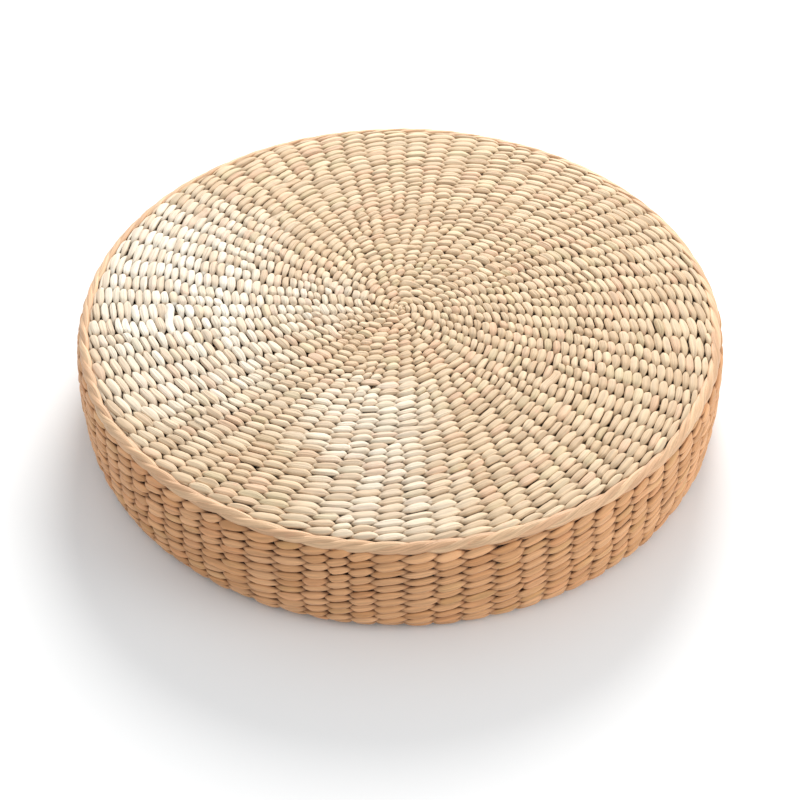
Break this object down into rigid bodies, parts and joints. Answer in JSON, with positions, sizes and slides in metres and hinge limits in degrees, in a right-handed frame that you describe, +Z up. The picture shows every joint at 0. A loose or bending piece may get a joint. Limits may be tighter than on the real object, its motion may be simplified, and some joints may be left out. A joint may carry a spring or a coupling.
{
  "type": "round woven seat pad",
  "caption": "Round, thick seat pad: twined straw rounds over radial straws make the top, side and underside, with a rim cord at the top edge, around a cloth-lined foam core.",
  "frame": {"origin": "centre of the flat underside", "axes": "+Z up, out of the seat face; +X and +Y are any two directions in the floor plane, because the pad is round"},
  "size_m": [0.4, 0.4, 0.07],
  "materials": {
    "straw_top": "matte",
    "straw_rim": "satin",
    "straw_side": "matte",
    "straw_bottom": "matte",
    "straw_stake": "matte",
    "liner_cloth": "matte",
    "foam": "matte"
  },
  "bodies": {
    "root": {"bottom_band_1": "straw_bottom", "bottom_band_2": "straw_bottom", "bottom_band_3": "straw_bottom", "bottom_band_4": "straw_bottom", "bottom_center_knot": "straw_bottom", "foam_core": "foam", "liner_bottom_panel": "liner_cloth", "liner_side_band": "liner_cloth", "liner_top_panel": "liner_cloth", "side_round_01": "straw_side", "side_round_02": "straw_side", "side_round_03": "straw_side", "side_round_04": "straw_side", "side_round_05": "straw_side", "side_round_06": "straw_side", "side_round_07": "straw_side", "side_round_08": "straw_side", "side_round_09": "straw_side", "side_round_10": "straw_side", "side_round_11": "straw_side", "stakes_centre": "straw_stake", "stakes_second": "straw_stake", "stakes_third": "straw_stake", "top_center_knot": "straw_top", "top_rim_cord": "straw_rim", "top_round_01": "straw_top", "top_round_02": "straw_top", "top_round_03": "straw_top", "top_round_04": "straw_top", "top_round_05": "straw_top", "top_round_06": "straw_top", "top_round_07": "straw_top", "top_round_08": "straw_top", "top_round_09": "straw_top", "top_round_10": "straw_top", "top_round_11": "straw_top", "top_round_12": "straw_top", "top_round_13": "straw_top", "top_round_14": "straw_top", "top_round_15": "straw_top", "top_round_16": "straw_top", "top_round_17": "straw_top", "top_round_18": "straw_top", "top_round_19": "straw_top", "top_round_20": "straw_top", "top_round_21": "straw_top", "top_round_22": "straw_top", "top_round_23": "straw_top", "top_round_24": "straw_top", "top_round_25": "straw_top", "top_round_26": "straw_top", "top_round_27": "straw_top", "top_round_28": "straw_top", "top_round_29": "straw_top", "top_round_30": "straw_top", "top_round_31": "straw_top", "top_round_32": "straw_top", "top_round_33": "straw_top", "top_round_34": "straw_top", "top_round_35": "straw_top"}
  },
  "joints": []
}
